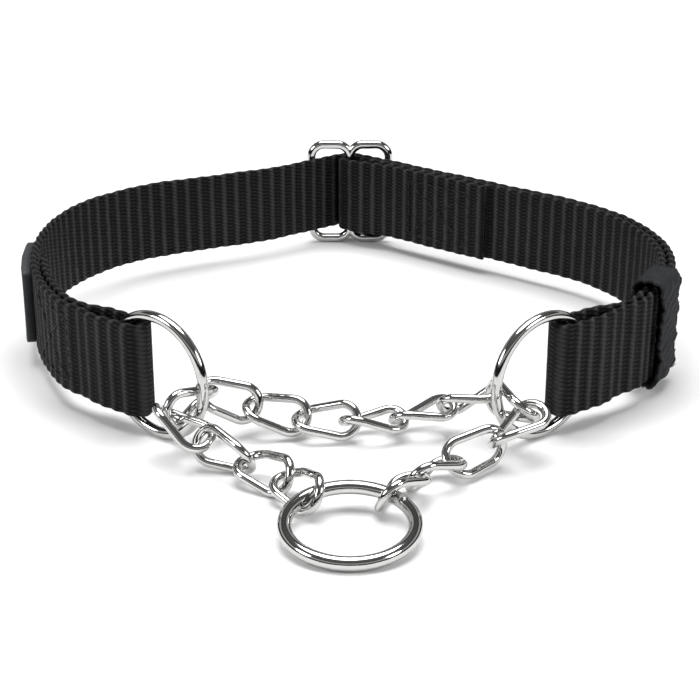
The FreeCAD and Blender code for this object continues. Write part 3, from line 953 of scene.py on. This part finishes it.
class COLLAR_OT_slider(bpy.types.Operator):
    """Build the bent-wire slider"""

    bl_idname = "collar.slider"
    bl_label = "Slider"

    def execute(self, context):
        """Each loop is a rectangle with round corners, of which the middle bar is one side, so the
        two loops make one piece."""
        size = context.scene.collar_sizes
        half_tall = (size.slider_tall - size.slider_wire) / 2
        bend, gap = size.slider_corner, size.slider_gap
        middle = np.array((size.mid_x, size.bar_y, size.slider_tall / 2))
        pieces = []
        for side in (-1, 1):
            line = []
            for (wide, tall), quarter in zip(
                    ((gap - bend, half_tall - bend), (bend, half_tall - bend),
                     (bend, bend - half_tall), (gap - bend, bend - half_tall)), range(4)):
                for part in np.linspace(0, 1, 12):
                    angle = math.pi / 2 * (quarter + part)
                    line.append((side * (wide + bend * math.cos(angle)), 0,
                                 tall + bend * math.sin(angle)))
            pieces.append(tube(middle + np.array(line), size.slider_wire / 2, 24, True))
        make_piece("slider_plated", pieces, plating_material(), "collar",
                   ["slider"])
        return {"FINISHED"}


class COLLAR_OT_stage(bpy.types.Operator):
    """Set the floor, lights, surroundings and camera"""

    bl_idname = "collar.stage"
    bl_label = "Stage"

    def execute(self, context):
        """The floor is one square. Each lamp is turned so that it faces the origin."""
        scene = context.scene
        paint = scene.collar_colours
        plane = bpy.data.meshes.new("floor")
        corners = [(FLOOR_REACH * x, FLOOR_REACH * y, 0)
                   for x, y in ((-1, -1), (1, -1), (1, 1), (-1, 1))]
        plane.from_pydata(corners, [], [(0, 1, 2, 3)])
        floor = bpy.data.objects.new("floor", plane)
        scene.collection.objects.link(floor)
        n = Nodes("studio_floor")
        n.set(Base_Color=shade(paint.floor), Roughness=0.9, Specular_IOR_Level=0.1)
        plane.materials.append(n.material)
        for name, place, wide, power in LAMPS:
            lamp = bpy.data.lights.new(name, "AREA")
            lamp.shape = "DISK"
            lamp.size = wide
            lamp.energy = power
            item = bpy.data.objects.new(name, lamp)
            item.location = place
            aim = -np.array(place)
            item.rotation_euler = (
                math.atan2(math.hypot(aim[0], aim[1]), -aim[2]), 0,
                math.atan2(aim[1], aim[0]) - math.pi / 2)
            scene.collection.objects.link(item)
        scene.view_settings.view_transform = "Standard"
        self.surroundings(scene)
        self.camera(scene)
        return {"FINISHED"}

    def surroundings(self, scene):
        """A white studio with dark bands between its soft boxes, by direction."""
        world = bpy.data.worlds.new("studio")
        world.use_nodes = True
        scene.world = world
        tree = world.node_tree
        back = tree.nodes["Background"]
        coords = tree.nodes.new("ShaderNodeTexCoord")
        split = tree.nodes.new("ShaderNodeSeparateXYZ")
        ramp = tree.nodes.new("ShaderNodeValToRGB")
        tree.links.new(coords.outputs["Generated"], split.inputs[0])
        tree.links.new(split.outputs["Z"], ramp.inputs[0])
        tree.links.new(ramp.outputs[0], back.inputs["Color"])
        elements = ramp.color_ramp.elements
        while len(elements) < len(SURROUNDINGS):
            elements.new(0.5)
        for element, (place, level) in zip(elements, SURROUNDINGS):
            element.position = place
            element.color = (level, level, level, 1)
        back.inputs["Strength"].default_value = SURROUNDINGS_STRENGTH

    def camera(self, scene):
        """The view looks along +Y and down by the camera's pitch."""
        lens = bpy.data.cameras.new("camera")
        lens.sensor_width = 36.0
        lens.lens = CAMERA_LENS
        item = bpy.data.objects.new("camera", lens)
        item.location = CAMERA_PLACE
        item.rotation_euler = (math.radians(90 - CAMERA_PITCH), 0, 0)
        lens.clip_start = 0.01
        scene.collection.objects.link(item)
        scene.camera = item


class COLLAR_PT_panel(bpy.types.Panel):
    """Lists the collar's operators"""

    bl_idname = "COLLAR_PT_panel"
    bl_label = "Martingale Collar"
    bl_space_type = "VIEW_3D"
    bl_region_type = "UI"
    bl_category = "Collar"

    def draw(self, context):
        for operator in OPERATORS:
            self.layout.operator(operator.bl_idname)


OPERATORS = (
    COLLAR_OT_stage, COLLAR_OT_webbing, COLLAR_OT_stitching, COLLAR_OT_keeper,
    COLLAR_OT_label, COLLAR_OT_rings, COLLAR_OT_chain, COLLAR_OT_slider,
)
CLASSES = (COLLAR_PG_sizes, COLLAR_PG_colours) + OPERATORS + (COLLAR_PT_panel,)


def register():
    for kind in CLASSES:
        bpy.utils.register_class(kind)
    bpy.types.Scene.collar_sizes = PointerProperty(type=COLLAR_PG_sizes)
    bpy.types.Scene.collar_colours = PointerProperty(type=COLLAR_PG_colours)


def unregister():
    del bpy.types.Scene.collar_colours
    del bpy.types.Scene.collar_sizes
    for kind in reversed(CLASSES):
        bpy.utils.unregister_class(kind)


def main():
    register()
    bpy.ops.collar.stage()
    bpy.ops.collar.webbing()
    bpy.ops.collar.stitching()
    bpy.ops.collar.keeper()
    bpy.ops.collar.label()
    bpy.ops.collar.rings()
    bpy.ops.collar.chain()
    bpy.ops.collar.slider()


if __name__ == "__main__":
    main()
